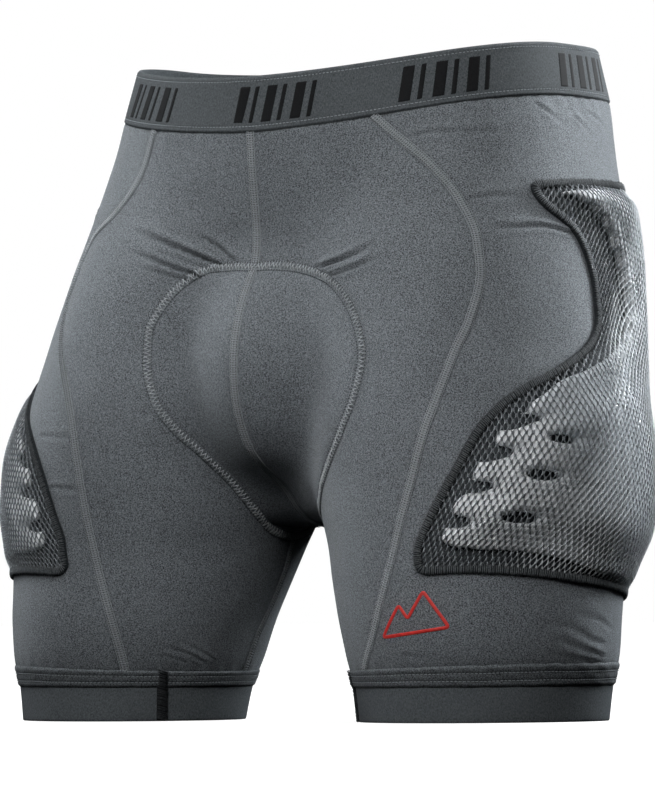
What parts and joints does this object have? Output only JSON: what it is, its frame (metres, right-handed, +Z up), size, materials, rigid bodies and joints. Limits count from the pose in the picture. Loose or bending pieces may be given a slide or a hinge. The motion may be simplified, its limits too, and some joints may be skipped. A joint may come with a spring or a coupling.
{
  "type": "padded impact shorts",
  "caption": "Close-fitting padded shorts with an elastic waistband, curved panels, a sewn-in seat pad, foam hip pads in mesh pockets, a tailbone pad and gripper hems.",
  "frame": {"origin": "on the surface the hems stand on, under the middle of the garment's box", "axes": "+X is the wearer's left, the front faces -Y, +Z is up from the hems to the waist"},
  "size_m": [0.4445, 0.277, 0.4069],
  "materials": {
    "body_fabric": "heathered charcoal warp knit, matt with a soft sheen",
    "waistband": "ribbed woven elastic with darker jacquard marks",
    "gripper_elastic": "fine ribbed elastic",
    "hem_fabric": "turned knit hem with twin stitching",
    "silicone": "translucent grip print",
    "dark_thread": "overlock thread",
    "seam_thread": "flatlock thread",
    "pad_foam": "pale closed-cell foam",
    "chamois_fabric": "brushed knit over thin foam",
    "pocket_mesh": "open warp-knit mesh",
    "binding": "dark ribbed binding tape",
    "emblem_print": "red heat-transfer film",
    "label": "blank satin"
  },
  "bodies": {
    "root": {"care_label": "label", "centre_front_seam": "seam_thread", "centre_rear_seam": "seam_thread", "chamois_base": "chamois_fabric", "chamois_cover_stitch": "seam_thread", "chamois_front_foam": "pad_foam", "chamois_seat_foam": "pad_foam", "front_panel_left": "body_fabric", "front_panel_right": "body_fabric", "front_side_seam_left": "seam_thread", "front_side_seam_right": "seam_thread", "gripper_join_seam_left": "dark_thread", "gripper_join_seam_right": "dark_thread", "hip_pad_left": "pad_foam", "hip_pad_right": "pad_foam", "hip_pocket_mesh_left": "pocket_mesh", "hip_pocket_mesh_right": "pocket_mesh", "inseam_left": "seam_thread", "inseam_right": "seam_thread", "leg_emblem": "emblem_print", "leg_gripper_left": "gripper_elastic", "leg_gripper_right": "gripper_elastic", "leg_hem_band_left": "hem_fabric", "leg_hem_band_right": "hem_fabric", "pocket_binding_left": "binding", "pocket_binding_right": "binding", "rear_panel_left": "body_fabric", "rear_panel_right": "body_fabric", "rear_side_seam_left": "seam_thread", "rear_side_seam_right": "seam_thread", "side_panel_left": "body_fabric", "side_panel_right": "body_fabric", "silicone_grip_rings_left": "silicone", "silicone_grip_rings_right": "silicone", "tailbone_binding": "binding", "tailbone_pad": "pad_foam", "tailbone_pocket_mesh": "pocket_mesh", "waistband_elastic": "waistband"}
  },
  "joints": []
}
